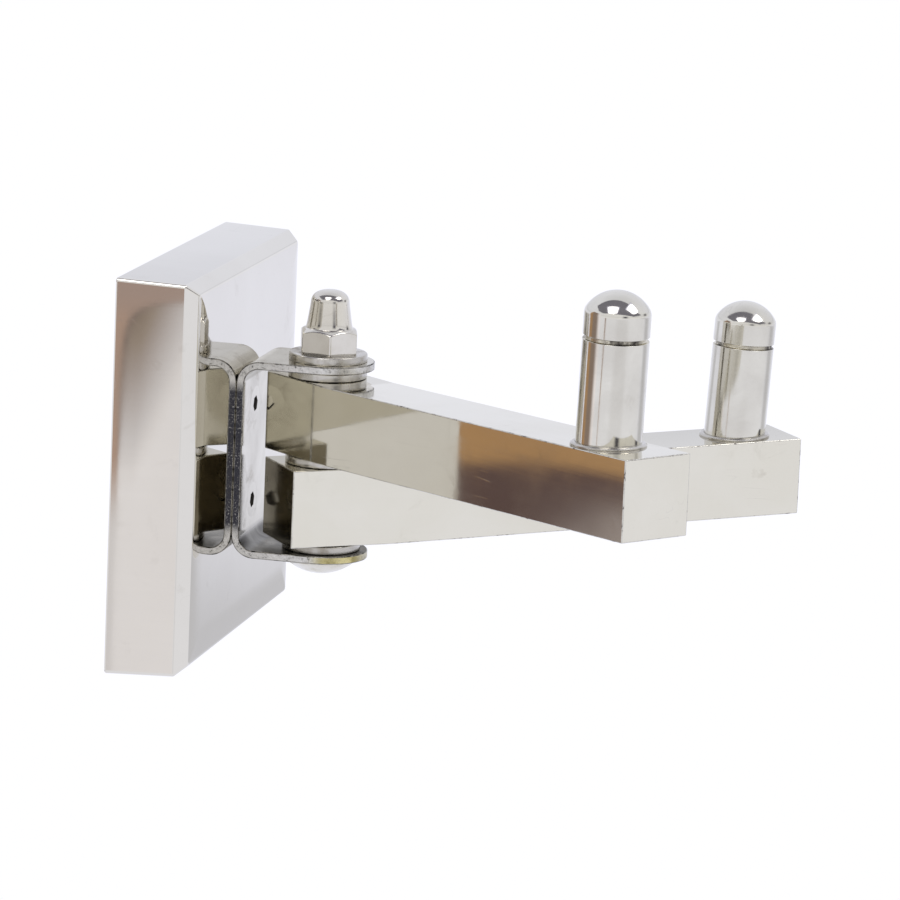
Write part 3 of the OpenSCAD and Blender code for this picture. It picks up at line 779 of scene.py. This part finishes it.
def card(name, corners, mat):
    me = bpy.data.meshes.new(name)
    me.from_pydata([tuple(Vector(c) * MM) for c in corners], [], [tuple(range(len(corners)))])
    o = add(name, me)
    me.materials.append(mat)
    o.visible_camera = False
    o.visible_shadow = False
    return o


# pale floor, far below the part, slightly warmer toward the front left
def floor_tone(nt, tc):
    sep = node(nt, "ShaderNodeSeparateXYZ")
    nt.links.new(tc.outputs["Object"], sep.inputs[0])
    f = span(nt, maths(nt, "ADD", sep.outputs["X"], maths(nt, "MULTIPLY", sep.outputs["Y"], 0.6)), -1.2, 1.2, smooth=True)
    return blend_rgb(nt, f, (1.07, 1.06, 1.05), (1.0, 1.0, 1.06))


floor_mat, e = glow("pale floor", floor_tone)
me = bpy.data.meshes.new("floor")
S = 40.0
me.from_pydata([(-S, -S, -0.6), (S, -S, -0.6), (S, S, -0.6), (-S, S, -0.6)], [], [(0, 1, 2, 3)])
floor = add("floor", me)
me.materials.append(floor_mat)
floor.visible_shadow = False

# the same floor as the metal sees it: a little greyer, with soft dim areas toward the viewpoint and close in on the right
def low_tone(nt, tc):
    sep = node(nt, "ShaderNodeSeparateXYZ")
    nt.links.new(tc.outputs["Object"], sep.inputs[0])
    x, y = sep.outputs["X"], sep.outputs["Y"]
    f = span(nt, maths(nt, "ADD", x, maths(nt, "MULTIPLY", y, 0.6)), -1.2, 1.2, smooth=True)
    col = blend_rgb(nt, f, (0.957, 0.967, 1.048), (0.945, 0.962, 1.085))
    dx, dy = maths(nt, "ADD", x, 2.25), maths(nt, "ADD", y, 1.30)
    dist = maths(nt, "SQRT", maths(nt, "ADD", maths(nt, "MULTIPLY", dx, dx), maths(nt, "MULTIPLY", dy, dy)))
    near = maths(nt, "MULTIPLY", span(nt, dist, 0.6, 1.35, 1.0, 0.0, smooth=True), 0.95)
    col = blend_rgb(nt, near, col, (0.855, 0.857, 0.918))
    wob = maths(nt, "MULTIPLY", noise(nt, tc.outputs["Object"], 1.6, 3.0), 0.35)
    close = maths(nt, "MULTIPLY", span(nt, maths(nt, "ADD", x, wob), 2.3, 3.1, 1.0, 0.0, smooth=True),
                  span(nt, x, 1.2, 1.8, 0.0, 1.0, smooth=True))
    return blend_rgb(nt, close, col, (0.66, 0.665, 0.72))


low_mat, e = glow("low floor", low_tone)
card("floor_low", [(-20000, -20000, -590), (20000, -20000, -590), (20000, 20000, -590), (-20000, 20000, -590)], low_mat)


# brown panel over a dark base, off to the left behind the wall line
def brown_tone(nt, tc):
    sep = node(nt, "ShaderNodeSeparateXYZ")
    nt.links.new(tc.outputs["Object"], sep.inputs[0])
    fall = maths(nt, "MULTIPLY", maths(nt, "MINIMUM", maths(nt, "ADD", sep.outputs["X"], 0.08), 0.0), -0.57)
    bow = maths(nt, "MULTIPLY", maths(nt, "ABSOLUTE", maths(nt, "ADD", sep.outputs["X"], 0.057)), -0.10)
    soft = maths(nt, "ADD", maths(nt, "ADD", sep.outputs["Z"], maths(nt, "SUBTRACT", fall, bow)),
                 maths(nt, "MULTIPLY", noise(nt, tc.outputs["Object"], 9.0), 0.004))
    f = span(nt, soft, -0.0735, -0.0690, smooth=True)
    n = noise(nt, tc.outputs["Object"], 14.0, 2.0)
    brown = blend_rgb(nt, span(nt, n, 0.3, 0.7), (0.445, 0.26, 0.127), (0.50, 0.318, 0.174))
    dark = blend_rgb(nt, span(nt, n, 0.3, 0.7), (0.115, 0.075, 0.072), (0.145, 0.10, 0.10))
    brown = blend_rgb(nt, span(nt, sep.outputs["X"], -0.16, -0.085, smooth=True), (0.30, 0.228, 0.19), brown)
    pale = maths(nt, "MULTIPLY", span(nt, sep.outputs["X"], -0.083, -0.050, 1.0, 0.0, smooth=True),
                 span(nt, sep.outputs["Z"], -0.099, -0.075, 1.0, 0.0, smooth=True))
    pale = maths(nt, "MULTIPLY", pale, span(nt, noise(nt, tc.outputs["Object"], 55.0, 4.0, 0.6, 0.8), 0.34, 0.62, 0.25, 1.0))
    dark = blend_rgb(nt, pale, dark, (0.47, 0.42, 0.425))
    both = blend_rgb(nt, f, dark, brown)
    return blend_rgb(nt, span(nt, sep.outputs["X"], -0.41, -0.26, smooth=True), (1.03, 0.99, 1.04), both)


brown_mat, e = glow("side panel", brown_tone)
card("side_panel", [(-18, 350, -420), (-450, 350, -420), (-450, 350, 260), (-120, 350, 240), (-18, 350, 60)],
     brown_mat)


# curtain close to the wall line: brown strip with a round corner beside a shaded sheet that brightens downward
def curtain_tone(nt, tc):
    sep = node(nt, "ShaderNodeSeparateXYZ")
    nt.links.new(tc.outputs["Object"], sep.inputs[0])
    wob = maths(nt, "MULTIPLY", maths(nt, "SUBTRACT", noise(nt, tc.outputs["Object"], 60.0, 3.0), 0.5), 0.05)
    q = maths(nt, "ADD", maths(nt, "ADD", maths(nt, "MULTIPLY", sep.outputs["Y"], -52.1), 3.306), wob)
    u = maths(nt, "ADD", maths(nt, "ADD", maths(nt, "MULTIPLY", maths(nt, "MINIMUM", q, 0.0), 0.92), 0.40),
              maths(nt, "MULTIPLY", maths(nt, "MAXIMUM", q, 0.0), 0.82))
    v = maths(nt, "SUBTRACT", maths(nt, "MULTIPLY", sep.outputs["Z"], -9.542), 0.1326)
    bend = maths(nt, "DIVIDE", 5.5e-4, maths(nt, "POWER", maths(nt, "MAXIMUM", v, 0.02), 2.3))
    w = maths(nt, "SUBTRACT", maths(nt, "SUBTRACT", u, 0.10), bend)
    inside = span(nt, w, -0.03, 0.03, smooth=True)
    lum = maths(nt, "ADD", maths(nt, "MULTIPLY", maths(nt, "SUBTRACT", v, 0.09), 240.0),
                maths(nt, "ADD", maths(nt, "MULTIPLY", maths(nt, "MAXIMUM", maths(nt, "SUBTRACT", u, 0.37), 0.0), 110.0), 4.0))
    r = node(nt, "ShaderNodeValToRGB")
    c = r.color_ramp
    tones = [(0.0, (0.25, 0.205, 0.185)), (0.09, (0.30, 0.24, 0.20)), (0.23, (0.375, 0.31, 0.265)),
             (0.38, (0.472, 0.417, 0.405)), (0.71, (0.733, 0.705, 0.74)), (0.90, (0.90, 0.875, 0.915)), (1.0, (0.945, 0.925, 0.975))]
    while len(c.elements) < len(tones):
        c.elements.new(0.5)
    for el, (at, t) in zip(c.elements, tones):
        el.position = at
        el.color = (*t, 1)
    nt.links.new(span(nt, lum, -10.0, 109.0), r.inputs[0])
    strip = blend_rgb(nt, span(nt, v, 0.02, 0.12, smooth=True), (0.45, 0.345, 0.31), (0.51, 0.363, 0.295))
    strip = blend_rgb(nt, span(nt, v, 0.42, 0.64, smooth=True), strip, (0.80, 0.78, 0.82))
    rim = maths(nt, "MULTIPLY", span(nt, maths(nt, "ABSOLUTE", w), 0.0, 0.065, 0.95, 0.0, smooth=True),
                span(nt, v, 0.14, 0.5, 1.0, 0.0))
    return blend_rgb(nt, rim, blend_rgb(nt, inside, strip, r.outputs[0]), (0.17, 0.148, 0.15))


curtain_mat, e = glow("curtain", curtain_tone)
card("curtain", [(-350, 46, -125), (-350, 79, -125), (-350, 79, 10), (-350, 46, 10)], curtain_mat)

# dim ceiling with lamps
ceiling_mat, e = glow("ceiling", lambda nt, tc: blend_rgb(nt, noise(nt, tc.outputs["Object"], 2.0), (0.165, 0.16, 0.205),
                                                          (0.27, 0.265, 0.305)))
card("ceiling", [(-1000, -2600, 905), (500, -2600, 905), (90, -900, 905), (90, 850, 905), (-1000, 850, 905)], ceiling_mat)


def soft_edges(nt, tc, wide):
    """1 in the middle of a card, falling to 0 at its borders"""
    sep = node(nt, "ShaderNodeSeparateXYZ")
    nt.links.new(tc.outputs["UV"], sep.inputs[0])
    out = None
    for axis in ("X", "Y"):
        d = maths(nt, "SUBTRACT", 0.5, maths(nt, "ABSOLUTE", maths(nt, "SUBTRACT", sep.outputs[axis], 0.5)))
        f = span(nt, d, 0.0, wide, smooth=True)
        out = f if out is None else maths(nt, "MULTIPLY", out, f)
    return out


def soft_card(name, corners, mat):
    o = card(name, corners, mat)
    uv = o.data.uv_layers.new(name="UVMap")
    for loop, c in zip(uv.data, ((0, 0), (1, 0), (1, 1), (0, 1))):
        loop.uv = c
    return o


lamp_mat, e = glow("lamp", lambda nt, tc: blend_rgb(nt, soft_edges(nt, tc, 0.22), (0.5, 0.5, 0.7), (5.0, 4.95, 4.9)))
for tag, x0, x1, y0, y1 in (("left", -750, -280, -240, 300), ("right", -310, 280, -1180, -480),
                            ("strip", -960, -810, -130, 340)):
    soft_card("lamp_" + tag, [(x0, y0, 900), (x1, y0, 900), (x1, y1, 900), (x0, y1, 900)], lamp_mat)

# two dim screens standing low, either side of the viewpoint
dim_mat, e = glow("dim screen", lambda nt, tc: blend_rgb(nt, soft_edges(nt, tc, 0.45), (0.84, 0.84, 0.86),
                                                         (0.05, 0.05, 0.08)))
for tag, az, half, lo, hi in (("a", -141, 12, 2, 26), ("b", -60, 11, 4, 22)):
    ca, sa = math.cos(math.radians(az)), math.sin(math.radians(az))
    dist, wide = 1300, 1300 * math.tan(math.radians(half))
    z0, z1 = 20 + dist * math.tan(math.radians(lo)), 20 + dist * math.tan(math.radians(hi))
    x, y = -30 + dist * ca, -70 + dist * sa
    soft_card("screen_" + tag, [(x - sa * wide, y + ca * wide, z0), (x + sa * wide, y - ca * wide, z0),
                                (x + sa * wide, y - ca * wide, z1), (x - sa * wide, y + ca * wide, z1)], dim_mat)

world = bpy.data.worlds.new("studio")
scene.world = world
world.use_nodes = True
nt = world.node_tree
nt.nodes.clear()
tc = node(nt, "ShaderNodeTexCoord")
sep = node(nt, "ShaderNodeSeparateXYZ")
nt.links.new(tc.outputs["Generated"], sep.inputs[0])
ramp = node(nt, "ShaderNodeValToRGB")
stops = [(-1.0, 0.80), (0.0, 0.82), (0.12, 0.80), (0.165, 0.76), (0.205, 0.605), (0.214, 0.68), (0.245, 0.77), (0.42, 0.78),
         (0.7, 0.78), (1.0, 0.66)]
cr = ramp.color_ramp
while len(cr.elements) < len(stops):
    cr.elements.new(0.5)
for el, (z, v) in zip(cr.elements, stops):
    el.position = (z + 1) / 2
    el.color = (v, v, v, 1)
nt.links.new(maths(nt, "ADD", maths(nt, "MULTIPLY", sep.outputs["Z"], 0.5), 0.5), ramp.inputs[0])
tint = blend_rgb(nt, span(nt, maths(nt, "ADD", sep.outputs["X"], maths(nt, "MULTIPLY", sep.outputs["Y"], 0.6)), -1.0, 1.0,
                          smooth=True), (1.0, 1.0, 1.03), (0.965, 0.985, 1.09))
col = blend_rgb(nt, 1.0, ramp.outputs[0], tint, "MULTIPLY")
bg = node(nt, "ShaderNodeBackground")
bg.inputs["Strength"].default_value = 1.22
nt.links.new(col, bg.inputs["Color"])
out = node(nt, "ShaderNodeOutputWorld")
nt.links.new(bg.outputs[0], out.inputs["Surface"])

scene.view_settings.view_transform = "Standard"

# ---------------------------------------------------------------- camera
C = Vector((-1040.873, -296.693, 213.925)) * MM
T = Vector((10.0, -57.357, 1.303)) * MM
fwd = (T - C).normalized()
r = fwd.cross(Vector((0, 0, 1))).normalized()
u = r.cross(fwd)
roll = 0.043
r2 = math.cos(roll) * r + math.sin(roll) * u
u2 = -math.sin(roll) * r + math.cos(roll) * u
cam_data = bpy.data.cameras.new("view")
cam_data.sensor_width = 36.0
cam_data.lens = 215.08
cam_data.clip_start, cam_data.clip_end = 0.05, 200.0
cam = bpy.data.objects.new("view", cam_data)
scene.collection.objects.link(cam)
cam.matrix_world = Matrix(((r2.x, u2.x, -fwd.x, C.x), (r2.y, u2.y, -fwd.y, C.y), (r2.z, u2.z, -fwd.z, C.z), (0, 0, 0, 1)))
scene.camera = cam
